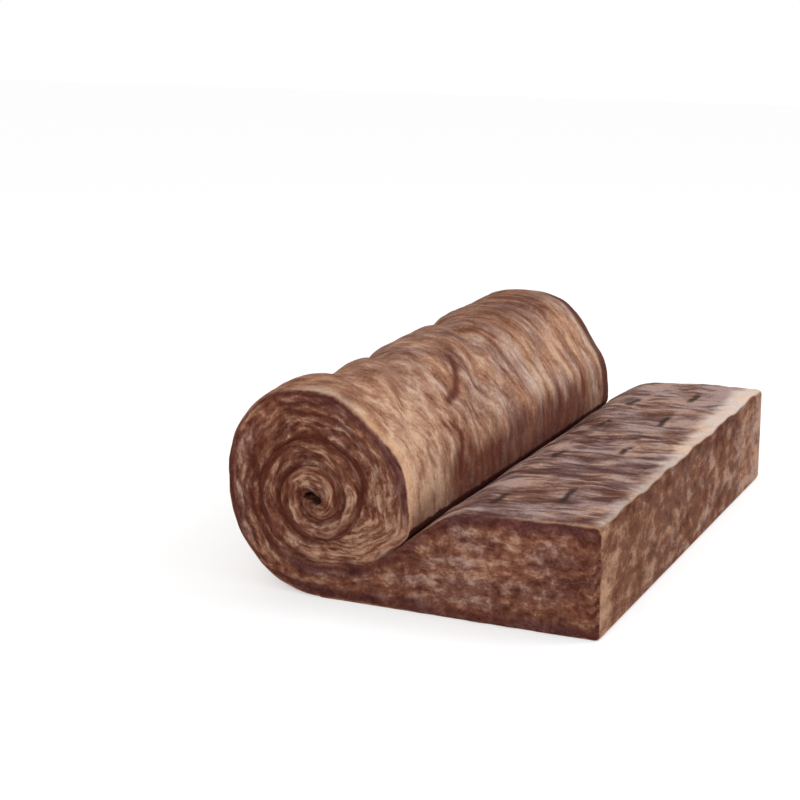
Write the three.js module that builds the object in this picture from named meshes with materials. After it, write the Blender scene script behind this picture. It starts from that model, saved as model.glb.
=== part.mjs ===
// A mat of glass wool, rolled up at one end and laid out flat at the other.
// The mat is one piece of stock. Its section is drawn in the XZ plane, as the mat's long edge shows it,
// and runs the same across the whole width of the mat, along Y. Rolled up, the wool is pressed to a
// fraction of its thickness. Where it comes off the roll it swells back to the full thickness. Then the
// outside of the roll gets its swollen ends and gathers, and the top of the flat mat its low waves.
// Millimetres, +Z up. The origin is on the floor, in the middle of the part's outline.

import * as THREE from "three";
import { mergeVertices } from "three/addons/utils/BufferGeometryUtils.js";

// The mat
const MAT_WIDTH = 1200;
const MAT_THICKNESS = 225; // at the free end: a 220 mm mat, swollen a little past its nominal size
const FLAT_LENGTH = 585; // from under the roll's middle to the free end
const END_CORNER_RADIUS = 12; // where the free end meets the mat's two faces
const EDGE_ROUNDING = 6; // along both long edges of the mat

// The roll
const ROLL_WIDTH = 396;
const ROLL_HEIGHT = 425;
const PRESSED_THICKNESS = 74; // of the mat where the roll rests on it
const TURN_THICKNESS = 48; // of the mat inside the roll
const EYE_RADIUS = 11; // of the hollow in the middle
const CORE_DROP = 14; // of the hollow below the roll's middle, sunk by the wool's own weight
const START_THICKNESS = 18; // of the mat's first edge, pressed round beside the hollow
const TURN_GAP = 1.5; // between one turn and the next
const EDGE_ARC = 0.3; // of a turn, over which the wool closes in past the mat's first edge

// Where the mat comes off the roll
const PRESSED_LENGTH = 78; // over which the roll keeps the mat pressed, from under its middle
const SWELL_LENGTH = 240; // over which the wool then swells quickly
const QUICK_SWELL = 0.84; // share of the swelling that comes quickly; the rest comes by the free end
const SLOW_EASE = 0.8; // power of the length that the rest follows, less than 1 as it eases off
const NIP_RADIUS = 14; // of the roll's lower corner, over the nip

// The roll's outside. It is swollen at both ends, high on the flank away from the flat mat. Its other
// shoulder is flat, and gathers run slantwise round it, where the wool was drawn in as it was wound. A
// gather's place is where it crosses the top. Stretches are given as where they begin, are whole, begin
// to fade and end: round the roll in shares of a turn, and across the mat from its middle.
const UNEVEN_TURN = [0.06, 0.16, 0.66, 0.74];
const SWOLLEN_TURN = [0.26, 0.34, 0.41, 0.5];
const UNSWOLLEN_WIDTH = [-490, -390, -150, 450];
const END_SWELL = 14; // by which the swollen ends stand out
const SHOULDER_TURN = 0.63; // where the flat shoulder lies at the middle of the roll's length
const SHOULDER_SHIFT = 0.06; // of a turn, from one end of the roll to the other
const SHOULDER_SPREAD = 0.2; // of a turn, that the shoulder takes up
const SHOULDER_DEPTH = 14; // by which it is drawn in
const GATHERED_WIDTH = [-560, -470, 470, 560];
const GATHER_LEAN = 1.1; // across the mat, for each length round the roll
const GATHERS = [
  { place: -459, depth: 9, width: 50 },
  { place: -284, depth: 9, width: 35 },
  { place: 80, depth: 12, width: 40 },
];

// The waves on the flat mat's top
const WAVES = [
  { height: 2.5, length: 230 },
  { height: 1.5, length: 97 },
];
const WAVE_BEND = 520; // along the mat, over which a wave wanders sideways and back
const WAVE_RISE = 80; // from the roll's flank, over which the waves begin

// How finely the curves are drawn
const SLICES = 28; // of the mat's width, where its faces aren't even
const STEPS_PER_TURN = 40;
const UNDERSIDE_STEPS = 12;
const TOP_STEPS = 16;
const CORNER_STEPS = 3;
const FIRST_EDGE_STEPS = 6;
const EDGE_STEPS = 2;

const FULL_TURN = 2 * Math.PI;
const STEP = FULL_TURN / STEPS_PER_TURN;
const halfWidth = ROLL_WIDTH / 2;
const middleHeight = ROLL_HEIGHT / 2;
const contact = halfWidth - NIP_RADIUS; // from under the roll's middle to where it leaves the flat mat

// Inside the outermost turn the mat is wound evenly, one thickness for each turn.
const firstTurnRadius = middleHeight - PRESSED_THICKNESS - TURN_GAP;
const startRadius = EYE_RADIUS + START_THICKNESS;
const innerSteps = Math.round(((firstTurnRadius - startRadius) / TURN_THICKNESS) * STEPS_PER_TURN);
const pitch = (firstTurnRadius - startRadius) / innerSteps;

// The winding angle starts under the roll's middle and grows as the mat is followed inwards: up the
// far flank, over the top, down the flank above the flat mat and under again.
function onRoll(angle, radius) {
  const drop = CORE_DROP * Math.max(1 - radius / firstTurnRadius, 0);
  return new THREE.Vector2(-radius * Math.sin(angle), middleHeight - drop - radius * Math.cos(angle));
}

function outlineRadius(angle) {
  const stretch = Math.hypot(middleHeight * Math.sin(angle), halfWidth * Math.cos(angle));
  return (halfWidth * middleHeight) / stretch;
}

function innerTurnRadius(step) {
  return firstTurnRadius - pitch * step;
}

// Height of the mat's upper face over the floor, at a distance from under the roll's middle.
function matTop(x) {
  const quick = THREE.MathUtils.smoothstep(x, PRESSED_LENGTH, PRESSED_LENGTH + SWELL_LENGTH);
  const slow = (x / FLAT_LENGTH) ** SLOW_EASE;
  const swell = THREE.MathUtils.lerp(slow, quick, QUICK_SWELL);
  return THREE.MathUtils.lerp(PRESSED_THICKNESS, MAT_THICKNESS, swell);
}

// Points on an arc, from one angle to another.
function arc(centre, radius, fromAngle, toAngle, steps) {
  const points = [];
  for (let i = 0; i <= steps; i++) {
    const angle = THREE.MathUtils.lerp(fromAngle, toAngle, i / steps);
    const spoke = new THREE.Vector2(Math.cos(angle), Math.sin(angle));
    points.push(spoke.multiplyScalar(radius).add(centre));
  }
  return points;
}

// The mat's lower face: along the floor, then round the outside of the roll and down to the nip.
function outerFace() {
  const points = [];
  for (let step = 0; step <= 0.75 * STEPS_PER_TURN; step++) {
    points.push(onRoll(step * STEP, outlineRadius(step * STEP)));
  }
  return points;
}

// The roll's flank drops straight to the nip and turns in under the roll, on to the flat mat.
function nipAndUnderside() {
  const underside = (x) => new THREE.Vector2(x, matTop(x) + TURN_GAP);
  const flank = new THREE.Vector2(halfWidth, matTop(halfWidth) + TURN_GAP + NIP_RADIUS);
  const bend = new THREE.QuadraticBezierCurve(flank, underside(halfWidth), underside(contact));
  const points = bend.getPoints(CORNER_STEPS + 1);
  for (let i = UNDERSIDE_STEPS - 1; i > 0; i--) {
    points.push(underside((contact * i) / UNDERSIDE_STEPS));
  }
  return points;
}

// The lower face of the inner turns, from under the roll's middle to the mat's first edge.
function innerTurns() {
  const points = [];
  for (let step = 0; step <= innerSteps; step++) {
    points.push(onRoll(step * STEP, innerTurnRadius(step)));
  }
  return points;
}

// The mat's first edge, pressed to a round nose.
function firstEdge() {
  const angle = innerSteps * STEP;
  const middle = onRoll(angle, EYE_RADIUS + START_THICKNESS / 2);
  const outwards = -Math.PI / 2 - angle;
  const nose = arc(middle, START_THICKNESS / 2, outwards, outwards - Math.PI, FIRST_EDGE_STEPS);
  return nose.slice(1, -1);
}

// The wall of the hollow, followed back outwards from the mat's first edge for one turn.
function eyeWall() {
  const points = [];
  const turnBack = innerSteps - STEPS_PER_TURN;
  for (let step = innerSteps; step > turnBack; step--) {
    const pastEdge = THREE.MathUtils.smoothstep(step, turnBack, turnBack + EDGE_ARC * STEPS_PER_TURN);
    const radius = THREE.MathUtils.lerp(startRadius + TURN_GAP, EYE_RADIUS, pastEdge);
    points.push(onRoll(step * STEP, radius));
  }
  return points;
}

// The mat's upper face inside the roll lies against the next turn, with the gap between them.
function upperFaceInRoll() {
  const points = [];
  for (let step = innerSteps; step > 0; step--) {
    points.push(onRoll(step * STEP, innerTurnRadius(step) + TURN_GAP));
  }
  return points;
}

// The mat's upper face on the floor, where the roll lies on it.
function upperFaceUnderRoll() {
  const points = [];
  for (let i = 0; i < UNDERSIDE_STEPS; i++) {
    const x = (contact * i) / UNDERSIDE_STEPS;
    points.push(new THREE.Vector2(x, matTop(x)));
  }
  return points;
}

// The mat's upper face from the nip to the free end.
function flatTop() {
  const points = [];
  for (let i = 0; i < TOP_STEPS; i++) {
    const x = THREE.MathUtils.lerp(contact, FLAT_LENGTH - END_CORNER_RADIUS, i / TOP_STEPS);
    points.push(new THREE.Vector2(x, matTop(x)));
  }
  return points;
}

function freeEnd() {
  const r = END_CORNER_RADIUS;
  const upper = new THREE.Vector2(FLAT_LENGTH - r, matTop(FLAT_LENGTH - r) - r);
  const lower = new THREE.Vector2(FLAT_LENGTH - r, r);
  const quarter = Math.PI / 2;
  return [...arc(upper, r, quarter, 0, CORNER_STEPS), ...arc(lower, r, 0, -quarter, CORNER_STEPS)];
}

// The section's points in order. Those of the faces that aren't even are marked as uneven.
function sectionPoints() {
  const even = (points) => points.map((point) => ({ point, uneven: false }));
  const uneven = (points) => points.map((point) => ({ point, uneven: true }));
  return [
    ...uneven(outerFace()),
    ...even(nipAndUnderside()),
    ...even(innerTurns()),
    ...even(firstEdge()),
    ...even(eyeWall()),
    ...even(upperFaceInRoll()),
    ...even(upperFaceUnderRoll()),
    ...uneven(flatTop()),
    ...uneven(freeEnd()),
  ];
}

// Triangles between two rows of corners that run side by side.
function strip(left, right) {
  const triangles = [];
  let i = 0;
  let j = 0;
  while (i + j < left.length + right.length - 2) {
    if ((i + 1) * (right.length - 1) <= (j + 1) * (left.length - 1)) {
      triangles.push(left[i], left[i + 1], right[j]);
      i++;
    } else {
      triangles.push(left[i], right[j + 1], right[j]);
      j++;
    }
  }
  return triangles;
}

// The extruded mat, with the long faces beside the uneven points cut into slices.
function slicedMat(points) {
  const length = MAT_WIDTH - 2 * EDGE_ROUNDING;
  const extruded = new THREE.ExtrudeGeometry(new THREE.Shape(points.map(({ point }) => point)), {
    depth: length,
    steps: 1,
    bevelThickness: EDGE_ROUNDING,
    bevelSize: EDGE_ROUNDING,
    bevelOffset: -EDGE_ROUNDING,
    bevelSegments: EDGE_STEPS,
  });
  extruded.deleteAttribute("normal");
  extruded.deleteAttribute("uv");
  const whole = mergeVertices(extruded);
  const corners = Array.from(whole.getAttribute("position").array);
  const cornerAt = new Map();
  for (let i = 0; i < corners.length; i += 3) {
    cornerAt.set(corners.slice(i, i + 3).join(), i / 3);
  }
  const find = (point, z) => cornerAt.get([point.x, point.y, z].map(Math.fround).join());

  const rows = points.map(({ point, uneven }) => {
    const row = [find(point, 0)];
    for (let slice = 1; uneven && slice < SLICES; slice++) {
      row.push(corners.length / 3);
      corners.push(point.x, point.y, (length * slice) / SLICES);
    }
    return [...row, find(point, length)];
  });

  const triangles = [];
  const old = whole.getIndex().array;
  for (let i = 0; i < old.length; i += 3) {
    const triangle = [old[i], old[i + 1], old[i + 2]];
    const depths = triangle.map((corner) => corners[3 * corner + 2]);
    if (Math.max(...depths) - Math.min(...depths) < length / 2) {
      triangles.push(...triangle);
    }
  }
  rows.forEach((row, i) => triangles.push(...strip(row, rows[(i + 1) % rows.length])));

  const sliced = new THREE.BufferGeometry();
  sliced.setAttribute("position", new THREE.Float32BufferAttribute(corners, 3));
  sliced.setIndex(triangles);
  return sliced;
}

// From 0 to 1 and back to 0, along a stretch given as the roll's are.
function fade(place, [begin, whole, fading, end]) {
  const begun = THREE.MathUtils.smoothstep(place, begin, whole);
  const faded = THREE.MathUtils.smoothstep(place, fading, end);
  return begun * (1 - faded);
}

// How far the roll's outside stands out at a winding angle and a place across the mat.
function rollUnevenness(angle, across) {
  const turn = angle / FULL_TURN;
  const lean = GATHER_LEAN * (turn - 0.5) * Math.PI * (halfWidth + middleHeight);
  let gathered = 0;
  for (const { place, depth, width } of GATHERS) {
    const offset = (across + lean - place) / width;
    gathered += depth * Math.exp(-offset * offset);
  }
  gathered *= fade(across, GATHERED_WIDTH);
  const shoulder = SHOULDER_TURN + (SHOULDER_SHIFT * across) / MAT_WIDTH;
  const pastShoulder = THREE.MathUtils.clamp((turn - shoulder) / SHOULDER_SPREAD, -0.5, 0.5);
  const flattened = SHOULDER_DEPTH * Math.cos(Math.PI * pastShoulder) ** 2;
  const swollen = END_SWELL * fade(turn, SWOLLEN_TURN) * (1 - fade(across, UNSWOLLEN_WIDTH));
  return (swollen - gathered - flattened) * fade(turn, UNEVEN_TURN);
}

// How far the flat mat's top stands out at a place along and across the mat.
function topUnevenness(x, across) {
  const begun = THREE.MathUtils.smoothstep(x, halfWidth, halfWidth + WAVE_RISE);
  const bend = Math.sin((FULL_TURN * x) / WAVE_BEND);
  let height = 0;
  for (const wave of WAVES) {
    height += wave.height * Math.sin((FULL_TURN * across) / wave.length + bend);
  }
  return height * begun;
}

// Moves a point of the mat outwards, all the way at the uneven faces and less deeper in.
function moveOut(point, across) {
  if (point.x > halfWidth) {
    point.y += (topUnevenness(point.x, across) * point.y) / matTop(point.x);
    return;
  }
  const spoke = new THREE.Vector2(point.x, point.y - middleHeight);
  const angle = THREE.MathUtils.euclideanModulo(Math.atan2(-spoke.x, -spoke.y), FULL_TURN);
  const share = THREE.MathUtils.smoothstep(spoke.length(), firstTurnRadius, outlineRadius(angle));
  point.addScaledVector(spoke.normalize(), share * rollUnevenness(angle, across));
}

function woolMat() {
  const geometry = slicedMat(sectionPoints());
  const position = geometry.getAttribute("position");
  for (let i = 0; i < position.count; i++) {
    const point = new THREE.Vector2(position.getX(i), position.getY(i));
    moveOut(point, MAT_WIDTH / 2 - EDGE_ROUNDING - position.getZ(i));
    position.setXY(i, point.x, point.y);
  }
  geometry.computeVertexNormals();
  const material = new THREE.MeshStandardMaterial({ color: 0x8a6a56, roughness: 0.95, metalness: 0 });
  const mesh = new THREE.Mesh(geometry, material);
  mesh.name = "glass_wool_mat";
  mesh.rotation.x = Math.PI / 2;
  mesh.position.set((halfWidth - FLAT_LENGTH) / 2, MAT_WIDTH / 2 - EDGE_ROUNDING, 0);
  return mesh;
}

const insulationRoll = new THREE.Group();
insulationRoll.add(woolMat());

export default insulationRoll;
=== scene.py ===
"""A mat of glass wool, rolled up at one end and laid out flat at the other, as a Blender add-on.

The mat is one long sheet. A place on it is given by three lengths: how far it is along the mat from
the free end, how far across the mat's width, and how deep in its thickness. The mesh, its relief and its
colours are all worked out in those three, so that the wool's layers follow the turns of the roll.
"""

import math

import bpy
import numpy as np
from bpy.props import FloatProperty, FloatVectorProperty, IntProperty, PointerProperty
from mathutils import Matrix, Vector, noise


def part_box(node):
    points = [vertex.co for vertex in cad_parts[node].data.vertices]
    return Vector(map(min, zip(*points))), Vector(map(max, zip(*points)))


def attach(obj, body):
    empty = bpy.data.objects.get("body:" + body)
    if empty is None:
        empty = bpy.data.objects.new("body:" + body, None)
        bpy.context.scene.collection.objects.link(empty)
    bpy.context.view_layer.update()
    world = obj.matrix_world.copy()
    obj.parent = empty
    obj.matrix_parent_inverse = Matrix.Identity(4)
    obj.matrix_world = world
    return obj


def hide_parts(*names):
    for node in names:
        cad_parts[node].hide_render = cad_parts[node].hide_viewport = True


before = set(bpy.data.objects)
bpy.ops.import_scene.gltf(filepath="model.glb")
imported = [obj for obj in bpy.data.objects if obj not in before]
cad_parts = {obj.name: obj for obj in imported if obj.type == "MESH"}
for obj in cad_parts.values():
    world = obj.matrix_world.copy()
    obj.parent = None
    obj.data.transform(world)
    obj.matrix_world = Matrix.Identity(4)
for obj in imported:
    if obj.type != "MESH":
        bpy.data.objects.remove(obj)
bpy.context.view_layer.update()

bl_info = {
    "name": "Glass wool roll",
    "version": (1, 0, 0),
    "blender": (4, 5, 0),
    "location": "View3D > Sidebar > Wool roll",
    "description": "Makes a partly unrolled mat of glass wool in a plain studio",
    "category": "Object",
}

NODE = "glass_wool_mat"
BODY = "root"
FULL_TURN = 2 * math.pi
MM = 0.001

# The camera's picture on its sensor is this wide, in millimetres, and it sees this far, in metres.
SENSOR_WIDTH = 36
SIGHT = 50

WHITE = (1, 1, 1, 1)
FLOOR_WHITE = (0.9, 0.9, 0.9, 1)

# From one seed's noise to the next one's, and how noise weakens and grows finer with each octave.
SEED_STEP = (17.3, -9.1, 5.7)
WEAKENING = 0.8
FINENESS = 2.1

# Names of the attributes that carry the mat's places and relief to its material.
PLACE = "mat_place"
FACES = "mat_faces"
FORM = "mat_form"
TONE = "mat_tone"

# Stretches of the roll's outside: where each begins, is whole, begins to fade and ends. They run round
# the roll, in turns from under its middle, or across the mat.
UNEVEN_TURN = (0.06, 0.16, 0.66, 0.74)
SWOLLEN_TURN = (0.26, 0.34, 0.41, 0.5)
UNSWOLLEN_WIDTH = (-0.490, -0.390, -0.150, 0.450)
GATHERED_WIDTH = (-0.560, -0.470, 0.470, 0.560)

# Where the roll's rim is rounded most.
ROUNDED_TURN = (0.27, 0.34, 0.62, 0.72)

# Gathers in the roll's outside: where each crosses the top, across the mat, with its depth and width.
GATHERS = ((-0.459, 0.009, 0.050), (-0.284, 0.009, 0.035), (0.080, 0.012, 0.040))

# Waves on the flat mat's top: the height and length of each.
WAVES = ((0.0025, 0.230), (0.0015, 0.097))

# Cutting marks: how far each row is from the free end, and where its marks are across the mat.
CUTTING_MARKS = {0.129: (-0.430, -0.061, 0.214, 0.455), 0.250: (-0.480, -0.139, 0.158, 0.373)}
MARK_LENGTH = 0.115

# Folds and faint streaks in the roll's outside: the width and strength of each, then its turns and
# places across.
FOLDS = (
    (0.013, 1.0, (0.561, -0.123), (0.582, -0.142), (0.601, -0.167), (0.621, -0.206), (0.630, -0.265)),
    (0.016, 1.0, (0.688, -0.304), (0.709, -0.310), (0.731, -0.326), (0.759, -0.337)),
    (0.011, 0.9, (0.667, -0.322), (0.688, -0.304)),
    (0.009, 0.7, (0.697, -0.469), (0.716, -0.457)),
    (0.011, 0.6, (0.595, -0.531), (0.617, -0.550)),
    (0.011, 0.5, (0.546, -0.522), (0.571, -0.558)),
    (0.018, 0.8, (0.533, 0.106), (0.563, 0.110)),
    (0.012, 0.7, (0.495, 0.170), (0.532, 0.193)),
    (0.010, 0.5, (0.555, 0.437), (0.585, 0.407), (0.620, 0.384)),
    (0.010, 0.5, (0.600, 0.144), (0.629, 0.139), (0.661, 0.156)),
    (0.009, 0.4, (0.637, 0.265), (0.668, 0.278)),
    (0.010, 0.5, (0.626, -0.107), (0.675, -0.095)),
    (0.010, 0.5, (0.670, -0.147), (0.702, -0.123)),
    (0.011, 0.5, (0.704, 0.425), (0.747, 0.445)),
    (0.011, 0.7, (0.330, 0.180), (0.390, 0.110)),
    (0.012, 0.9, (0.250, -0.060), (0.310, -0.150), (0.330, -0.230)),
    (0.010, 0.6, (0.180, 0.320), (0.230, 0.250)),
    (0.010, 0.5, (0.380, 0.330), (0.430, 0.270)),
    (0.010, 0.5, (0.200, -0.380), (0.260, -0.395)),
)


# ---------------------------------------------------------------- settings


def number(name, description, default, **settings):
    """A plain number that a user may change."""
    return FloatProperty(name=name, description=description, default=default, **settings)


def fraction(name, description, default):
    """A part of a whole that a user may change."""
    return number(name, description, default, min=0.01, max=1, subtype="FACTOR")


def length(name, description, millimetres):
    """A length that a user may change, given in millimetres and kept in metres."""
    kept = millimetres * MM
    return number(name, description, kept, min=0, unit="LENGTH", subtype="DISTANCE", precision=4)


def direction(name, description, degrees):
    """An angle that a user may change, given in degrees and kept in radians."""
    return number(name, description, math.radians(degrees), subtype="ANGLE", unit="ROTATION")


def integer(name, description, default, lowest):
    """A whole number that a user may change."""
    return IntProperty(name=name, description=description, default=default, min=lowest)


def position(name, description, *metres):
    """A place in the scene that a user may change."""
    settings = {"subtype": "TRANSLATION", "unit": "LENGTH"}
    return FloatVectorProperty(name=name, description=description, default=metres, **settings)


def colour(name, description, *screen):
    """A colour that a user may change, given as 0 to 255 on the screen and kept linear."""
    linear = [screen_to_linear(part / 255) for part in screen]
    settings = {"size": 3, "min": 0, "max": 1, "subtype": "COLOR"}
    return FloatVectorProperty(name=name, description=description, default=linear, **settings)


def screen_to_linear(part):
    return part / 12.92 if part <= 0.04045 else ((part + 0.055) / 1.055) ** 2.4


class MatSizes(bpy.types.PropertyGroup):
    """The mat's driving sizes."""

    thickness: length("Thickness", "Thickness of the mat at its free end", 225)
    flat_length: length("Flat length", "From under the roll's middle to the free end", 585)
    roll_width: length("Roll width", "Width of the roll, seen on its end", 396)
    roll_height: length("Roll height", "Height of the roll over the floor", 425)
    pressed_thickness: length("Pressed thickness", "Thickness of the mat under the roll", 74)
    turn_thickness: length("Turn thickness", "Thickness of the mat inside the roll", 48)
    eye_radius: length("Eye radius", "Radius of the hollow in the roll's middle", 11)
    start_thickness: length("Start thickness", "Thickness of the mat's first edge", 18)
    turn_gap: length("Turn gap", "Gap between one turn and the next", 1.5)
    core_drop: length("Core drop", "Of the hollow below the roll's middle", 14)
    edge_arc: fraction("Edge arc", "Of a turn, over which the wool closes in past its first edge", 0.3)
    pressed_length: length("Pressed length", "Over which the roll keeps the mat pressed", 78)
    swell_length: length("Swell length", "Over which the wool then swells quickly", 240)
    quick_swell: fraction("Quick swell", "Of the swelling, that comes quickly", 0.84)
    slow_ease: number("Slow ease", "Power of the length that the slow swelling follows", 0.8, min=0.5)
    nip_radius: length("Nip radius", "Radius of the roll's lower corner, over the nip", 14)
    end_corner: length("End corner", "Rounding between the free end and the two faces", 12)
    end_swell: length("End swell", "Swelling of the roll at both ends, high on the far flank", 14)
    shoulder_turn: fraction("Shoulder turn", "Of a turn, from under the roll to its flat shoulder", 0.63)
    shoulder_shift: fraction("Shoulder shift", "Of a turn, from the shoulder's one end to the other", 0.06)
    shoulder_spread: fraction("Shoulder spread", "Of a turn, that the shoulder takes up", 0.2)
    shoulder_depth: length("Shoulder depth", "How far the roll is drawn in at its shoulder", 14)
    gather_lean: number(
        "Gather lean", "How far the gathers run across the mat, for each length round the roll", 1.1
    )
    wave_bend: length("Wave bend", "Length over which a wave wanders sideways and back", 520)
    wave_rise: length("Wave rise", "Length past the roll over which the waves begin", 80)


class MatMesh(bpy.types.PropertyGroup):
    """How finely the mat is modelled, and how rough the wool is."""

    step: length("Step", "Distance between points where the mat shows", 6.2)
    inner_step: length("Inner step", "Distance between points inside the roll", 9)
    layers: integer("Layers", "Faces through the mat's thickness", 20, lowest=4)
    hidden_slices: integer(
        "Hidden slices", "Slices of the width that share one face where the mat is hidden", 16, lowest=1
    )
    rim_rounding: length("Rim rounding", "Rounding of the roll's outer rim", 12)
    shoulder_rounding: length("Shoulder rounding", "Rounding of the rim at the flat shoulder", 24)
    flat_rounding: length("Flat rounding", "Rounding of the flat mat's long edges", 7)
    turn_rounding: length("Turn rounding", "Rounding of each turn's edge inside the roll", 3)
    swelling: length("Swelling", "Height of the roll's slow bulges and waists", 2)
    wrinkles: length("Wrinkles", "Height of the wrinkles on the roll's skin", 3)
    fold_depth: length("Fold depth", "Depth of the folds in the roll's skin", 4)
    waves: length("Waves", "Height of the waves on the flat mat's top", 5)
    ridges: length("Ridges", "Height of the layers that show on the mat's edges", 4)
    tearing: length("Tearing", "Height of the torn lumps on the free end", 4.5)
    seed: integer("Seed", "Start of the random shapes", 7, lowest=0)


class WoolColours(bpy.types.PropertyGroup):
    """The colours of the wool: hollows, middle tones and raised fibres of each face, and the painted shade
    and highlights.
    """

    skin_dark: colour("Skin, hollows", "Hollows on the outside of the roll", 109, 69, 53)
    skin: colour("Skin", "Outside of the roll", 158, 120, 100)
    skin_light: colour("Skin, raised", "Raised fibres on the outside of the roll", 199, 169, 147)
    # Painted shade: darkens the folds and the roll just over the crease.
    skin_shade: colour("Skin, folds", "Folds and the shaded side of the roll", 96, 46, 36)
    top_dark: colour("Top, hollows", "Hollows on the top of the flat mat", 93, 60, 52)
    top: colour("Top", "Top of the flat mat", 129, 100, 91)
    top_light: colour("Top, raised", "Raised fibres on the top of the flat mat", 175, 148, 136)
    # Painted highlight: where the top meets the free end, and at the crown of the near rim.
    painted_highlight: colour("Pale", "Fresh wool along the top edge of the free end", 228, 208, 192)
    edge_dark: colour("Edge, hollows", "Dark layers on the mat's long edges", 84, 46, 36)
    edge: colour("Edge", "Layers that show on the mat's long edges", 127, 84, 68)
    edge_light: colour("Edge, raised", "Light layers on the mat's long edges", 180, 146, 126)
    # Painted shade along the long edges just inside the faces, with its raised fibres in the next colour.
    edge_shade: colour("Dusk", "Along the mat's long edges, just inside its faces", 70, 34, 34)
    edge_shade_light: colour("Dusk, raised", "Raised fibres along the mat's long edges", 106, 62, 56)
    # Dark red for painted shade between the turns, inside the rim and round the far rim, and also for dark
    # rings and patches in the wool.
    ring: colour("Ring", "Between two turns of the roll", 78, 32, 22)
    # Painted highlight along the near rim of the roll and along the flat mat's long top edges.
    rim: colour("Rim", "Near rim of the roll", 216, 170, 132)
    cut_dark: colour("Cut, hollows", "Hollows on the free end", 86, 46, 34)
    cut: colour("Cut", "Free end", 122, 83, 65)
    cut_light: colour("Cut, raised", "Raised tufts on the free end", 179, 145, 124)
    # Painted shade in the crease where the roll meets the flat mat.
    crease_shade: colour("Crevice", "Deep in the crease and between two turns", 62, 14, 9)
    mark: colour("Mark", "Cutting marks on the top", 54, 42, 38)
    warm: colour("Warm", "Tint of the warmer patches", 255, 244, 232)
    cool: colour("Cool", "Tint of the cooler patches", 244, 246, 255)


class Studio(bpy.types.PropertyGroup):
    """The camera's place and the lights."""

    azimuth: direction("Azimuth", "Direction of the camera, turned from the front to the right", 24.65)
    elevation: direction("Elevation", "Angle by which the camera looks down", 13.64)
    focal_length: number("Focal length", "Of the lens, in millimetres", 82.25, min=10)
    camera_place: position("Camera place", "Where the camera stands", 1.3791, -3.6356, 1.2305)
    target: position("Target", "What the lamps shine at", 0, 0, 0.2)
    key_place: position("Key place", "Where the large lamp at the right hangs", 2.4, 0.9, 2.4)
    key_width: length("Key width", "Of the large lamp at the right", 2000)
    key_power: number("Key power", "Of the large lamp at the right, in watts", 46, subtype="POWER")
    fill_place: position("Fill place", "Where the lamp beside the camera hangs", 0.6, -3.4, 1.6)
    fill_width: length("Fill width", "Of the lamp beside the camera", 1600)
    fill_power: number("Fill power", "Of the lamp beside the camera, in watts", 34, subtype="POWER")
    sky_strength: number("Sky strength", "Of the light from all round", 0.9, min=0)
    floor_glow: number("Floor glow", "Strength of the white that the camera sees in the floor", 1.35)
    glow_share: fraction("Glow share", "Of that white, in what the camera sees", 0.32)
    floor_width: length("Floor width", "Of the white floor, each way", 24000)


# ---------------------------------------------------------------- the mat's section


def smoothstep(low, high, value):
    x = np.clip((np.asarray(value, float) - low) / (high - low), 0, 1)
    return x * x * (3 - 2 * x)


def fade(stretch, place):
    """From 0 to 1 and back to 0 along a stretch."""
    begin, whole, fading, end = stretch
    return smoothstep(begin, whole, place) * (1 - smoothstep(fading, end, place))


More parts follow.
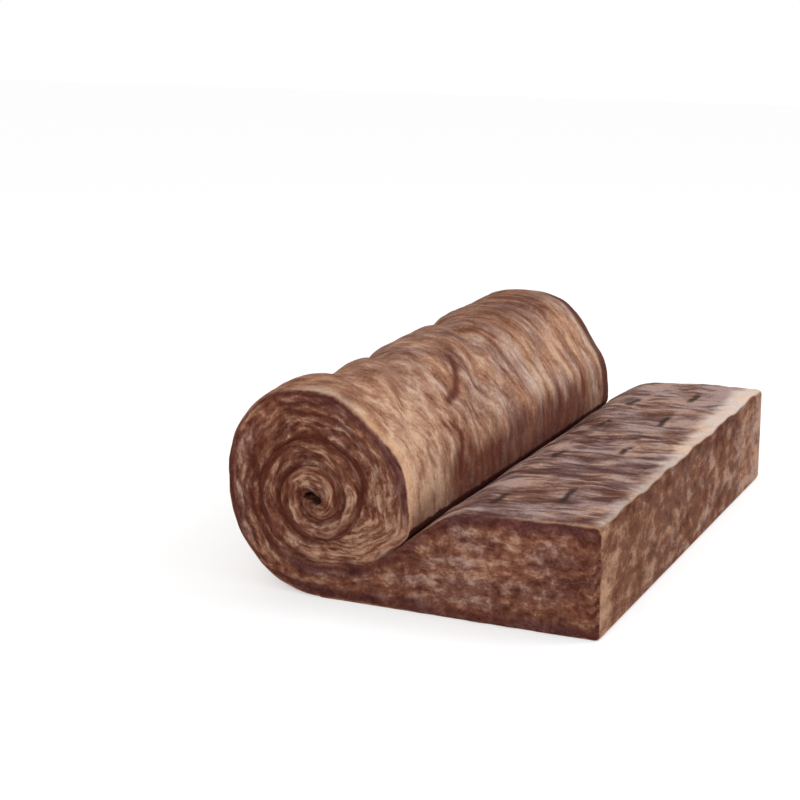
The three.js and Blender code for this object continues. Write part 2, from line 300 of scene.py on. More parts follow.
class Section:
    """The mat's section in the XZ plane, at stations from the free end to the first edge.

    lower and upper hold a point of each face for every station, along is the length of mat from the
    free end, and turn counts the turns of the roll from the place under its middle.
    """

    FLANK_TURN = 0.75
    CORNER_POINTS = 24
    UNDERSIDE_POINTS = 40

    def __init__(self, sizes, mat_width, step, inner_step):
        self.sizes = sizes
        self.mat_width = mat_width
        self.half_width = sizes.roll_width / 2
        self.middle = sizes.roll_height / 2
        self.first_radius = self.middle - sizes.pressed_thickness - sizes.turn_gap
        self.start_radius = sizes.eye_radius + sizes.start_thickness
        inner_turns = (self.first_radius - self.start_radius) / sizes.turn_thickness
        self.inner_angle = FULL_TURN * inner_turns
        self.outside_length = math.pi * (self.half_width + self.middle)
        self.nip = self.nip_outline()
        self.flat_stations(step)
        self.roll_stations(step, inner_step)
        self.lower = np.concatenate([self.flat_lower, self.roll_lower])
        self.upper = np.concatenate([self.flat_upper, self.roll_upper])
        middles = (self.lower + self.upper) / 2
        steps = np.hypot(*np.diff(middles, axis=0).T)
        self.along = np.concatenate([[0], np.cumsum(steps)])
        flat_count = len(self.flat_lower)
        self.turn = np.concatenate([0 * self.flat_lower[:, 0], self.angles]) / FULL_TURN
        self.on_roll = np.arange(len(self.along)) >= flat_count

    def top(self, x):
        """Height of the mat's upper face on the floor."""
        sizes = self.sizes
        quick = smoothstep(sizes.pressed_length, sizes.pressed_length + sizes.swell_length, x)
        slow = np.maximum(np.asarray(x) / sizes.flat_length, 0) ** sizes.slow_ease
        swell = slow + (quick - slow) * sizes.quick_swell
        return sizes.pressed_thickness + (sizes.thickness - sizes.pressed_thickness) * swell

    def flat_stations(self, step):
        """From the free end, with its rounded corners, to under the roll's middle."""
        sizes = self.sizes
        corner = sizes.end_corner
        bend = [corner * (1 - math.cos(math.radians(degrees))) for degrees in (0, 30, 60, 90)]
        run = sizes.flat_length - corner
        rest = np.linspace(run, 0, int(run / step), endpoint=False)[1:]
        x = np.concatenate([sizes.flat_length - np.array(bend), rest])
        inset = corner - np.sqrt(np.maximum(corner**2 - np.maximum(x - run, 0) ** 2, 0))
        self.flat_lower = np.column_stack([x, inset])
        self.flat_upper = np.column_stack([x, self.top(x) - inset])

    def roll_stations(self, step, inner_step):
        """From under the roll's middle, round and round, to the mat's first edge."""
        last = self.inner_angle + FULL_TURN
        angles = [0.0]
        widest_step = math.radians(9)
        while angles[-1] < last:
            radius = max(self.lower_radius(angles[-1]), self.start_radius)
            wanted = step if angles[-1] < FULL_TURN else inner_step
            angles.append(angles[-1] + min(wanted / radius, widest_step))
        self.angles = np.array(angles) * last / angles[-1]
        lower = np.array([self.lower_radius(a) for a in self.angles])
        upper = np.array([self.upper_radius(a) for a in self.angles])
        self.roll_lower = self.point(self.angles, lower)
        self.roll_upper = self.point(self.angles, upper)

    def point(self, angle, radius):
        """A place in the roll, sunk the more the nearer it lies to the roll's middle."""
        drop = self.sizes.core_drop * np.maximum(1 - radius / self.first_radius, 0)
        height = self.middle - drop - radius * np.cos(angle)
        return np.column_stack([-radius * np.sin(angle), height])

    def inner_radius(self, angle):
        """From the roll's middle to the mat's lower face, one turn further in than the outside."""
        return self.first_radius - self.sizes.turn_thickness * angle / FULL_TURN

    def lower_radius(self, angle):
        """From the roll's middle to the mat's lower face."""
        if angle >= FULL_TURN:
            return self.inner_radius(angle - FULL_TURN)
        if angle <= self.FLANK_TURN * FULL_TURN:
            return float(self.outline_radius(angle))
        return self.nip_distance(angle)

    def outline_radius(self, angle):
        """From the roll's middle to its outline, an ellipse."""
        stretch = np.hypot(self.middle * np.sin(angle), self.half_width * np.cos(angle))
        return self.half_width * self.middle / stretch

    def nip_distance(self, angle):
        """Along a ray from the roll's middle to its flank, its lower corner or its underside."""
        ray_angles = np.arctan2(-self.nip[:, 0], self.middle - self.nip[:, 1]) % FULL_TURN
        ray_angles[-1] = FULL_TURN
        distances = np.hypot(self.nip[:, 0], self.nip[:, 1] - self.middle)
        return float(np.interp(angle, ray_angles, distances))

    def nip_outline(self):
        """The roll's flank, its corner over the nip, and its underside on the flat mat."""
        radius = self.sizes.nip_radius
        self.contact = self.half_width - radius
        self.nip_height = float(self.top(self.contact))
        corner = self.under(np.array([self.half_width]))
        flank = corner + [0, radius]
        start = self.under(np.array([self.contact]))
        t = np.linspace(0, 1, self.CORNER_POINTS)[:, None]
        bend = (1 - t) ** 2 * flank + 2 * t * (1 - t) * corner + t**2 * start
        side = np.array([[self.half_width, self.middle]])
        underside = self.under(np.linspace(self.contact, 0, self.UNDERSIDE_POINTS)[1:])
        return np.concatenate([side, bend, underside])

    def under(self, x):
        """The roll's underside, a gap above the flat mat."""
        return np.column_stack([x, self.top(x) + self.sizes.turn_gap])

    def upper_radius(self, angle):
        """From the roll's middle to the mat's upper face, which lines the eye in the last turn."""
        if angle <= self.inner_angle:
            return self.inner_radius(angle) + self.sizes.turn_gap
        closed = self.inner_angle + self.sizes.edge_arc * FULL_TURN
        past_edge = smoothstep(self.inner_angle, closed, angle)
        touching = self.start_radius + self.sizes.turn_gap
        return float(touching * (1 - past_edge) + self.sizes.eye_radius * past_edge)

    def roll_unevenness(self, turn, across):
        """How far the roll's outside stands out.

        Its ends are swollen, its shoulder is flat, and gathers draw it in.
        """
        sizes = self.sizes
        lean = sizes.gather_lean * (turn - 0.5) * self.outside_length
        gathered = 0
        for place, depth, width in GATHERS:
            gathered = gathered + depth * np.exp(-(((across + lean - place) / width) ** 2))
        gathered *= fade(GATHERED_WIDTH, across)
        shoulder = sizes.shoulder_turn + sizes.shoulder_shift * across / self.mat_width
        past_shoulder = np.clip((turn - shoulder) / sizes.shoulder_spread, -0.5, 0.5)
        flattened = sizes.shoulder_depth * np.cos(np.pi * past_shoulder) ** 2
        swollen = sizes.end_swell * fade(SWOLLEN_TURN, turn) * (1 - fade(UNSWOLLEN_WIDTH, across))
        return (swollen - gathered - flattened) * fade(UNEVEN_TURN, turn)

    def top_unevenness(self, x, across):
        """How far the flat mat's top stands out, in long low waves."""
        sizes = self.sizes
        begun = smoothstep(self.half_width, self.half_width + sizes.wave_rise, x)
        bend = np.sin(FULL_TURN * x / sizes.wave_bend)
        height = 0
        for wave_height, wave_length in WAVES:
            height = height + wave_height * np.sin(FULL_TURN * across / wave_length + bend)
        return height * begun

    def moved_out(self, flat, across):
        """Points of the section moved outwards, all the way at the uneven faces and less deeper in."""
        x, height = flat.T
        spoke = flat - [0, self.middle]
        radius = np.maximum(np.hypot(*spoke.T), 1e-6)
        angle = np.arctan2(-spoke[:, 0], -spoke[:, 1]) % FULL_TURN
        outside = self.outline_radius(angle)
        share = smoothstep(0, 1, (radius - self.first_radius) / (outside - self.first_radius))
        outwards = share * self.roll_unevenness(angle / FULL_TURN, across)
        on_roll = flat + spoke * (outwards / radius)[:, None]
        upwards = self.top_unevenness(x, across) * height / self.top(x)
        on_floor = np.column_stack([x, height + upwards])
        return np.where((x > self.half_width)[:, None], on_floor, on_roll)


# ---------------------------------------------------------------- the mat's mesh


def rounded_inset(distance, radius):
    """How far a rounded edge has drawn in, at a distance from the end of the mat's width."""
    reach = np.maximum(radius - distance, 0)
    return radius - np.sqrt(np.maximum(radius**2 - reach**2, 0))


class MatShape:
    """The mat as a closed box of faces, bent along its section: its points, faces and places.

    A row runs across the mat and is named by its station and layer. It has a point at every slice of
    the width where the mat shows, and at a few slices where the mat is hidden.
    """

    # How far from the end of the width the slices lie that give the long edges their rounding, in mm.
    NEAR_EDGE = (0, 1.0, 2.6, 5.0, 8.5, 13.0, 19.0)

    # Turn past which the roll's outside is hidden, and how far under the roll the top still shows.
    HIDDEN_TURN = 0.92
    SHOWN_UNDER_ROLL = 0.03

    # Turns over which the rim is tucked in over the nip.
    TUCKED_TURN = (0.73, 0.80)

    # Over which the top's rounding shrinks under the roll, and the mat's corners are rounded.
    PRESSED_REACH = 0.06
    CORNER_REACH = 0.04

    # From the end of the width, where the turns begin to open and where they are fully open.
    OPENING = (0.013, 0.019)

    def __init__(self, section, mesh_settings, width, centre_x):
        self.section = section
        self.settings = mesh_settings
        self.width = width
        self.centre_x = centre_x
        self.stations = len(section.along)
        self.layers = mesh_settings.layers
        self.slices = self.slice_places()
        self.all_slices = range(len(self.slices))
        self.few_slices = [k for k in self.all_slices if self.is_kept(k)]
        self.rows = self.row_places()
        self.open_rows = {row for row in self.rows if self.is_open(*row)}
        self.number_points()
        self.lay_out()

    def slice_places(self):
        """Places across the width, close together where the long edges are rounded."""
        half = self.width / 2
        near_edge = np.array(self.NEAR_EDGE) * MM
        inner = half - near_edge[-1]
        count = int(2 * inner / self.settings.step)
        middle = np.linspace(-inner, inner, count + 1)[1:-1]
        return np.concatenate([near_edge - half, middle, half - near_edge[::-1]])

    def is_kept(self, k):
        edge = len(self.NEAR_EDGE)
        from_end = min(k, len(self.slices) - 1 - k)
        return from_end < edge or k % self.settings.hidden_slices == 0

    def row_places(self):
        """(station, layer) of each row, once round the section's outline."""
        last, top = self.stations - 1, self.layers
        lower = [(i, 0) for i in range(self.stations)]
        first_edge = [(last, j) for j in range(1, top)]
        upper = [(i, top) for i in range(last, -1, -1)]
        free_end = [(0, j) for j in range(top - 1, 0, -1)]
        return lower + first_edge + upper + free_end

    def is_open(self, i, j):
        """Whether a row shows, as the free end, the roll's outside and the flat mat's top do."""
        section = self.section
        if section.lower[i, 0] > section.sizes.flat_length - 2 * section.sizes.end_corner:
            return True
        if j == 0:
            return section.on_roll[i] and section.turn[i] < self.HIDDEN_TURN
        at_top = j == self.layers and not section.on_roll[i]
        return at_top and section.upper[i, 0] > section.contact - self.SHOWN_UNDER_ROLL

    def number_points(self):
        """Numbers the points of every row, then those inside the two long edges."""
        self.keys = []
        self.index = {}
        for i, j in self.rows:
            for k in self.all_slices if (i, j) in self.open_rows else self.few_slices:
                self.add_key(i, j, k)
        for k in (0, len(self.slices) - 1):
            for i in range(1, self.stations - 1):
                for j in range(1, self.layers):
                    self.add_key(i, j, k)

    def add_key(self, i, j, k):
        self.index[i, j, k] = len(self.keys)
        self.keys.append((i, j, k))

    def faces(self):
        """Between each row and the next, all round the section, and over the two long edges."""
        found = []
        for a, b in zip(self.rows, self.rows[1:] + self.rows[:1]):
            both_open = a in self.open_rows and b in self.open_rows
            joints = self.all_slices if both_open else self.few_slices
            for start, end in zip(joints, joints[1:]):
                back = self.row_part(a, start, end)[::-1]
                found.append(back + self.row_part(b, start, end))
        last_slice = len(self.slices) - 1
        for i in range(self.stations - 1):
            for j in range(self.layers):
                ring = [(i, j), (i + 1, j), (i + 1, j + 1), (i, j + 1)]
                found.append([self.index[(*c, 0)] for c in reversed(ring)])
                found.append([self.index[(*c, last_slice)] for c in ring])
        return found

    def row_part(self, row, start, end):
        """A row's points from one slice to another."""
        keys = [(*row, k) for k in range(start, end + 1)]
        return [self.index[key] for key in keys if key in self.index]

    def lay_out(self):
        """Each point's place on the mat, and how it lies in the roll."""
        i, j, k = np.array(self.keys).T
        section = self.section
        self.along = section.along[i]
        self.across = self.slices[k]
        self.depth = j / self.layers
        self.turn = section.turn[i]
        self.on_roll = section.on_roll[i]
        self.lower_point = section.lower[i]
        through = section.upper[i] - self.lower_point
        self.thickness = np.hypot(*through.T)
        self.through = through / self.thickness[:, None]
        under = smoothstep(0, self.PRESSED_REACH, section.contact - self.lower_point[:, 0])
        self.under_roll = under * ~self.on_roll
        self.from_end = self.width / 2 - np.abs(self.across)
        self.inwards = self.rounded_depth()
        self.reached = np.clip(self.inwards / self.thickness, 0, 1)

    def rounded_depth(self):
        """From the mat's lower face to each point, with the long edges rounded and turns closed up."""
        settings = self.settings
        flat, inside = settings.flat_rounding, settings.turn_rounding
        extra = (settings.shoulder_rounding - settings.rim_rounding) * fade(ROUNDED_TURN, self.turn)
        rim = settings.rim_rounding + extra
        rim += (inside - rim) * smoothstep(*self.TUCKED_TURN, self.turn)
        top = flat + (inside - flat) * self.under_roll
        low_inset = rounded_inset(self.from_end, np.where(self.on_roll, rim, flat))
        high_inset = rounded_inset(self.from_end, np.where(self.on_roll, inside, top))
        gap = self.section.sizes.turn_gap * np.maximum(self.on_roll, self.under_roll)
        closed = gap * (1 - smoothstep(*self.OPENING, self.from_end))
        return low_inset + (self.thickness - low_inset - high_inset + closed) * self.depth

    def points(self):
        """The smooth mat, before its relief."""
        flat = self.lower_point + self.through * self.inwards[:, None]
        near_free_end = np.clip(1 - self.along / self.CORNER_REACH, 0, 1) * ~self.on_roll
        flat[:, 0] -= rounded_inset(self.from_end, self.settings.flat_rounding) * near_free_end
        flat = self.section.moved_out(flat, self.across)
        return np.column_stack([flat[:, 0] + self.centre_x, self.across, flat[:, 1]])


def fractal(places, scale, octaves, seed):
    """Noise, about -1 to 1, at each of the places. Its scale is along, across and deep in the mat."""
    shift = Vector([seed * step for step in SEED_STEP])
    scaled = [Vector(place) + shift for place in places * np.asarray(scale)]
    return np.array([noise.fractal(place, WEAKENING, FINENESS, octaves) for place in scaled])


def segment_distance(points, start, end):
    """From each point to the nearest place on a straight segment."""
    start, end = np.array(start), np.array(end)
    run = end - start
    share = np.clip((points - start) @ run / (run @ run), 0, 1)
    return np.hypot(*(points - start - share[:, None] * run).T)


class Relief:
    """How far the rough wool stands out at each point, and what its material is told there."""

    # Along the mat, how far the free end reaches.
    END_REACH = 0.03

    # Where the roughness begins and ends: in turns on the roll's skin, and in metres from the crease.
    SKIN_TURN = (0.02, 0.10)
    SKIN_END = 0.9
    SKIN_FROM_CREASE = (0.01, 0.07)
    TOP_FROM_CREASE = (0.0, 0.06)

    # Along the mat, where the top's waves begin, already some way up at the free end itself.
    TOP_ALONG = (-0.05, 0.08)

    # Where the free end is torn: in shares of its height, and from the end of the width.
    TORN_HEIGHT = (0.0, 0.2, 0.75, 0.98)
    TORN_FROM_EDGE = (0.0, 0.05)

    # Turns between which the roll's outside and its wound turns are told apart.
    WOUND_TURN = (0.75, 1.1)

    # How far the wrinkles move along the mat, for each length across it.
    LEAN = 0.4

    def __init__(self, shape, points, normals, settings):
        self.shape = shape
        self.settings = settings
        self.seed = settings.seed
        section = shape.section
        in_section = points[:, [0, 2]] - [shape.centre_x, 0]
        deep = shape.reached * section.sizes.thickness
        self.place = np.column_stack([shape.along, shape.across, deep])
        through = normals[:, 0] * shape.through[:, 0] + normals[:, 2] * shape.through[:, 1]
        self.side = normals[:, 1] ** 2
        self.lower_face = np.where(through < 0, through**2, 0)
        self.upper_face = np.where(through > 0, through**2, 0)
        self.free_end = (1 - self.side - through**2) * (shape.along < self.END_REACH)
        nip = np.array([section.half_width, section.nip_height])
        self.from_crease = np.hypot(*(in_section - nip).T)
        self.fold = self.fold_shape()
        self.height = self.all_heights()

    def all_heights(self):
        """Each face's own roughness, where that face shows."""
        shape, settings = self.shape, self.settings
        skin = self.lower_face * shape.on_roll * smoothstep(*self.SKIN_TURN, shape.turn)
        skin *= smoothstep(*self.SKIN_FROM_CREASE, self.from_crease) * (shape.turn < self.SKIN_END)
        in_front = shape.lower_point[:, 0] > shape.section.contact
        flat_top = self.upper_face * ~shape.on_roll * in_front
        flat_top *= smoothstep(*self.TOP_FROM_CREASE, self.from_crease)
        flat_top *= smoothstep(*self.TOP_ALONG, shape.along)
        torn = self.free_end * fade(self.TORN_HEIGHT, shape.depth)
        torn *= smoothstep(*self.TORN_FROM_EDGE, shape.from_end)
        heights = skin * self.skin_height()
        heights += flat_top * settings.waves * self.top_height()
        heights += self.side * settings.ridges * self.side_height()
        heights += torn * settings.tearing * self.end_height()
        return heights

    def fold_shape(self):
        """Each fold's strength along its middle, in the roll's outside."""
        around = self.shape.section.outside_length
        points = np.column_stack([self.shape.turn * around, self.shape.across])
        folds = np.zeros(len(points))
        for width, strength, *route in FOLDS:
            places = [(turn * around, across) for turn, across in route]
            for start, end in zip(places, places[1:]):
                distance = segment_distance(points, start, end)
                folds = np.maximum(folds, strength * np.exp(-((distance / width) ** 2)))
        return folds * self.shape.on_roll * self.lower_face

    def skin_height(self):
        """Bulges and waists, wrinkles that lean round the roll, and a few deeper folds."""
        settings = self.settings
        lean = self.place + np.column_stack([self.LEAN * self.place[:, 1], 0 * self.place[:, :2]])
        swelling = fractal(self.place, (3.0, 3.6, 0), 2, self.seed)
        lumps = fractal(self.place, (8, 9, 0), 3, self.seed + 1)
        wrinkles = fractal(lean, (10, 19, 0), 3, self.seed + 2)
        rough = settings.swelling * swelling + settings.wrinkles * (0.6 * lumps + wrinkles)
        return rough - settings.fold_depth * self.fold

    def top_height(self):
        """Long waves that run along the mat, away from the roll."""
        lumps = fractal(self.place, (5, 7, 0), 2, self.seed + 3)
        waves = fractal(self.place, (8, 17, 0), 4, self.seed + 4)
        return 0.7 * lumps + waves

    def side_height(self):
        """Layers that follow the turns, each turn standing a little prouder or deeper."""
        layers = fractal(self.place, (7, 0, 22), 4, self.seed + 5)
        slow = fractal(self.place, (3.2, 0, 4), 2, self.seed + 6)
        lumps = fractal(self.place, (24, 0, 30), 3, self.seed + 7)
        pillow = 1 - (2 * self.shape.depth - 1) ** 2
        return 0.9 * layers + 1.4 * slow + lumps + 0.4 * pillow * self.shape.on_roll

    def end_height(self):
        """Lumps and hollows, torn rather than cut."""
        lumps = fractal(self.place, (0, 6, 11), 2, self.seed + 8)
        tufts = fractal(self.place, (0, 17, 26), 4, self.seed + 9)
        return 0.6 * lumps + 0.8 * tufts

    def wool_place(self):
        """For the material: along and across the mat, and how deep in it, all at true size."""
        shape = self.shape
        return np.column_stack([shape.along, shape.across, shape.reached * shape.thickness])

    def facing(self):
        """For the material: how nearly a point faces as the long edges, lower and upper face do."""
        return np.column_stack([self.side, self.lower_face, self.upper_face])

    def form(self):
        """For the material: the relief in millimetres, from the nearer face, and how far wound in."""
        shape = self.shape
        from_face = np.minimum(shape.reached, 1 - shape.reached) * shape.thickness
        inwards = shape.depth * np.maximum(shape.on_roll, shape.under_roll)
        wound = smoothstep(*self.WOUND_TURN, shape.turn + inwards)
        return np.column_stack([self.height / MM, from_face, wound])

    def tone(self):
        """For the material: how far from the crease, the strength of the folds, and the turn."""
        return np.column_stack([self.from_crease, self.fold, self.shape.turn])


def mesh_normals(mesh):
    normals = np.empty(len(mesh.vertices) * 3, np.float32)
    mesh.vertex_normals.foreach_get("vector", normals)
    return normals.reshape(-1, 3).astype(float)


def add_attribute(mesh, name, values):
    """Three numbers at each point, for the material."""
    attribute = mesh.attributes.new(name, "FLOAT_VECTOR", "POINT")
    attribute.data.foreach_set("vector", np.ascontiguousarray(values, np.float32).ravel())


def make_mat(context):
    """Builds the whole mat, with its places and relief kept as attributes for the material."""
    sizes, settings = context.scene.wool_sizes, context.scene.wool_mesh
    low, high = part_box(NODE)
    mat_width = high.y - low.y
    section = Section(sizes, mat_width, settings.step, settings.inner_step)
    centre_x = high.x - sizes.flat_length
    shape = MatShape(section, settings, mat_width, centre_x)
    points = shape.points()
    mesh = bpy.data.meshes.new("wool_mat")
    mesh.from_pydata(points.tolist(), [], shape.faces())
    mesh.update()
    normals = mesh_normals(mesh)
    relief = Relief(shape, points, normals, settings)
    moved = points + normals * relief.height[:, None]
    moved[:, 2] = np.maximum(moved[:, 2], 0)
    mesh.vertices.foreach_set("co", moved.astype(np.float32).ravel())
    mesh.shade_smooth()
    mesh.update()
    add_attribute(mesh, PLACE, relief.wool_place())
    add_attribute(mesh, FACES, relief.facing())
    add_attribute(mesh, FORM, relief.form())
    add_attribute(mesh, TONE, relief.tone())
    mat = bpy.data.objects.new("wool_mat", mesh)
    context.scene.collection.objects.link(mat)
    return mat


# ---------------------------------------------------------------- shader maths


class Value:
    """A number or colour that changes over a surface. Arithmetic on it adds Math nodes."""

    def __init__(self, shader, socket):
        self.shader = shader
        self.socket = socket

    def math(self, operation, *inputs):
        values = dict(enumerate(inputs))
        return self.shader.node("ShaderNodeMath", {"operation": operation}, values)

    def __add__(self, other):
        return self.math("ADD", self, other)

    def __radd__(self, other):
        return self.math("ADD", other, self)

    def __sub__(self, other):
        return self.math("SUBTRACT", self, other)

    def __rsub__(self, other):
        return self.math("SUBTRACT", other, self)

    def __mul__(self, other):
        return self.math("MULTIPLY", self, other)

    def __rmul__(self, other):
        return self.math("MULTIPLY", other, self)

    def __truediv__(self, other):
        return self.math("DIVIDE", self, other)

    def __rtruediv__(self, other):
        return self.math("DIVIDE", other, self)

    def __abs__(self):
        return self.math("ABSOLUTE", self)

    def maximum(self, other):
        return self.math("MAXIMUM", self, other)

    def cosine(self):
        return self.math("COSINE", self)

    def clamp(self):
        return self.math("MINIMUM", self.maximum(0.0), 1.0)

    def between(self, low, high):
        """0 below low, 1 above high and smooth from one to the other."""
        settings = {"interpolation_type": "SMOOTHSTEP"}
        return self.shader.node("ShaderNodeMapRange", settings, {0: self, 1: low, 2: high})

    def below(self, low, high):
        """1 below low, 0 above high and smooth from one to the other."""
        return 1 - self.between(low, high)

    def within(self, begin, whole, fading, end):
        """From 0 to 1 and back to 0 along a stretch."""
        return self.between(begin, whole) * self.below(fading, end)


def largest(values):
    """The largest of several values at each place."""
    first, *others = values
    for other in others:
        first = first.maximum(other)
    return first


class Shader:
    """A material's node tree, with its Principled BSDF."""

    # How many times steeper than their noise the sides of threads are.
    STEEPNESS = 9

    def __init__(self, name, roughness, specular):
        self.material = bpy.data.materials.new(name)
        self.material.use_nodes = True
        self.tree = self.material.node_tree
        self.surface = self.tree.nodes["Principled BSDF"]
        self.surface.inputs["Roughness"].default_value = roughness
        self.surface.inputs["Specular IOR Level"].default_value = specular

    def node(self, kind, settings=None, values=None, output=0):
        """Adds a node, with its settings first and then the values or links of its sockets."""
        node = self.tree.nodes.new(kind)
        for name, setting in (settings or {}).items():
            setattr(node, name, setting)
        for socket, value in (values or {}).items():
            self.feed(node.inputs[socket], value)
        return Value(self, node.outputs[output])

    def feed(self, socket, value):
        if isinstance(value, Value):
            self.tree.links.new(value.socket, socket)
        elif socket.type == "RGBA":
            socket.default_value = (*value, 1.0)[:4]
        else:
            socket.default_value = value

    def attribute(self, name, output="Vector"):
        settings = {"attribute_name": name}
        return self.node("ShaderNodeAttribute", settings, output=output)

    def parts(self, vector):
        node = self.tree.nodes.new("ShaderNodeSeparateXYZ")
        self.feed(node.inputs[0], vector)
        return [Value(self, socket) for socket in node.outputs]

    def vector(self, x, y, z):
        return self.node("ShaderNodeCombineXYZ", values={0: x, 1: y, 2: z})

    def scaled(self, vector, factors):
        return self.node("ShaderNodeVectorMath", {"operation": "MULTIPLY"}, {0: vector, 1: factors})

    def added(self, vector, offset):
        return self.node("ShaderNodeVectorMath", {"operation": "ADD"}, {0: vector, 1: offset})

    def noise(self, vector, detail, roughness, output=0):
        values = {"Vector": vector, "Scale": 1.0, "Detail": detail, "Roughness": roughness}
        return self.node("ShaderNodeTexNoise", values=values, output=output)

    def wander(self, vector, scale, distance):
        """The places pushed about by up to half the distance, so that lines on them meander."""
        push = self.noise(self.scaled(vector, (scale,) * 3), detail=2, roughness=0.55, output=1)
        centred = self.added(push, (-0.5, -0.5, -0.5))
        return self.added(vector, self.scaled(centred, (distance,) * 3))

    def threads(self, vector):
        """Thin lines, 1 along their middle and falling to 0 beside them."""
        field = self.noise(vector, detail=2, roughness=0.5)
        return (1 - abs(field - 0.5) * self.STEEPNESS).clamp()

    def tones(self, light, colours):
        """From the dark colour at 0, through the middle one at 0.5, to the light one at 1."""
        dark, middle, bright = colours
        lower = self.mix((light * 2).clamp(), dark, middle)
        return self.mix((light * 2 - 1).clamp(), lower, bright)

    def mix(self, factor, first, second, blend="MIX"):
        """From the first colour, where the factor is 0, to the second, in a Mix node's colour sockets."""
        settings = {"data_type": "RGBA", "blend_type": blend}
        values = {0: factor, 6: first, 7: second}
        return self.node("ShaderNodeMix", settings, values, output=2)

    def layered(self, base, layers):
        """A colour with others laid over it, each as far as its mask is 1."""
        for mask, over in layers:
            base = self.mix(mask, base, over)
        return base

    def bump(self, height, distance, strength, normal=None):
        values = {"Height": height, "Distance": distance, "Strength": strength}
        if normal:
            values["Normal"] = normal
        return self.node("ShaderNodeBump", values=values)


# ---------------------------------------------------------------- materials


class Wool:
    """Glass wool: matted fibre, with its colour, hollows and fibres laid along the mat, and with light and
    shade painted into its colour.

    The light of a face runs from 0 in its hollows to 1 on its raised fibres. The other patterns are
    masks, 1 where they lie. A turn is counted from under the roll's middle, across runs from -0.6 at
    the near end to 0.6 at the far one, and a pattern's scale is along, across and deep in the mat.
    """

    # Headings of the fine fibres, and the scale of their noise along a fibre, beside it and deeper in.
    HEADINGS = (0.3, 1.35, 2.4)
    FIBRES = (45, 260, 300)

    def __init__(self, colours):
        self.colours = colours
        shader = Shader("glass_wool", roughness=0.95, specular=0.1)
        self.shader = shader
        place = shader.attribute(PLACE)
        self.true_along, self.true_across, _ = shader.parts(place)
        self.straight = shader.wander(place, scale=9, distance=0.008)
        self.place = shader.wander(place, scale=14, distance=0.028)
        self.along, self.across, self.deep = shader.parts(self.straight)
        self.side, self.lower, self.upper = shader.parts(shader.attribute(FACES))
        self.relief, self.from_face, self.wound = shader.parts(shader.attribute(FORM))
        self.from_crease, self.fold, self.turn = shader.parts(shader.attribute(TONE))
        self.fine = self.noise((150, 150, 190), roughness=0.65) - 0.5
        self.ragged = self.uneven((14, 22, 0))
        self.core = self.turn.between(1.6, 3.0)
        lights = {
            "skin": self.skin_light(),
            "top": self.top_light(),
            "edge": self.edge_light(),
            "cut": self.cut_light(),
        }
        shader.feed(shader.surface.inputs["Base Color"], self.colour(lights))
        shader.feed(shader.surface.inputs["Normal"], self.bump(lights))
        self.material = shader.material

    def noise(self, scale, detail=3, roughness=0.5):
        """Soft patches that wander about."""
        return self.shader.noise(self.shader.scaled(self.place, scale), detail, roughness)

    def uneven(self, scale, detail=3):
        """Soft patches on both sides of 0, to move the edge of a pattern to and fro."""
        return self.noise(scale, detail) - 0.5

    def streaks(self, scale):
        """Nearly straight streaks."""
        return self.shader.noise(self.shader.scaled(self.straight, scale), 2, 0.5)

    def detailed(self, light, contrast):
        """A face's light and dark patches made stronger or weaker, with fine fibres over them."""
        return (light - 0.5) * contrast + 0.5 + self.fine * 0.7

    # Light and dark on each face.

    def skin_light(self):
        """Soft patches, and stripes that run round the roll, with painted light on the flank at the near
        end.
        """
        patches = self.noise((8, 10, 0))
        mottles = self.noise((26, 32, 0))
        stripes = self.streaks((9, 30, 0))
        streaks = self.streaks((19, 62, 0))
        far = self.across.between(-0.25, 0.25)
        top = self.turn.within(0.34, 0.44, 0.50, 0.62)
        lit_near_side = self.across.below(-0.56, -0.2) * self.turn.between(0.52, 0.66)
        light = patches * 0.22 + mottles * (0.50 - far * 0.20) + streaks * 0.14
        light = light + stripes * (0.14 + far * 0.20) + self.relief * 0.005
        light = light + lit_near_side * 0.09 + far * 0.03 - top * (far * 0.09 + 0.03)
        return self.detailed(light, contrast=4.4 - top * 1.1)

    def top_light(self):
        """Streaks that run along the mat, lighter towards the free end's far corner."""
        clouds = self.noise((4, 7, 0))
        bars = self.streaks((10, 28, 0))
        thin = self.streaks((20, 62, 0))
        far_corner = self.across.between(-0.1, 0.62) * self.along.below(0.05, 0.38)
        light = clouds * 0.22 + bars * 0.48 + thin * 0.3 + self.relief * 0.006
        return self.detailed(light + far_corner * 0.09, contrast=6.2)

    def edge_light(self):
        """Short arcs in the roll and small mottles in the flat mat, darker towards the free end, and
        painted light that brightens the roll's end on one side and towards its core.
        """
        layers = self.noise((6, 20, 50))
        blots = self.noise((28, 44, 44))
        spots = self.noise((58, 86, 86))
        arcs = self.noise((36, 44, 120), 2, 0.45)
        in_roll = self.wound.maximum(self.turn.between(0.0, 0.12))
        flat = blots * 0.45 + spots * 0.43 + layers * 0.12
        rolled = blots * 0.15 + spots * 0.12 + layers * 0.17 + arcs * 0.56
        free_corner = self.along.below(0.02, 0.16)
        light = flat + (rolled - flat) * in_roll + self.relief * 0.006 - free_corner * 0.06
        # Painted light: the roll's end is brighter on one side of the turn and towards its core.
        from_lit = (self.turn + 0.125) * FULL_TURN
        lit = in_roll * (from_lit.cosine() * 0.12 + self.core * 0.12)
        return self.detailed(light, contrast=in_roll * 0.3 + 3.5) + lit

    def cut_light(self):
        """Blotches where tufts are torn out, with painted shade along the top and paler at both corners.
        """
        blotches = self.noise((0, 11, 20), 2, 0.4)
        tufts = self.noise((0, 24, 42), 2, 0.4)
        spots = self.noise((0, 60, 100))
        far_corner = self.across.between(0.3, 0.6)
        near_corner = self.across.below(-0.6, -0.45)
        shade_under_lip = self.deep.between(0.13, 0.21)
        light = blotches * 0.4 + tufts * 0.45 + spots * 0.15 + self.relief * 0.004
        light = light + far_corner * 0.14 + near_corner * 0.09 - shade_under_lip * 0.07
        return self.detailed(light, contrast=2.9)

    # The colours of each face.

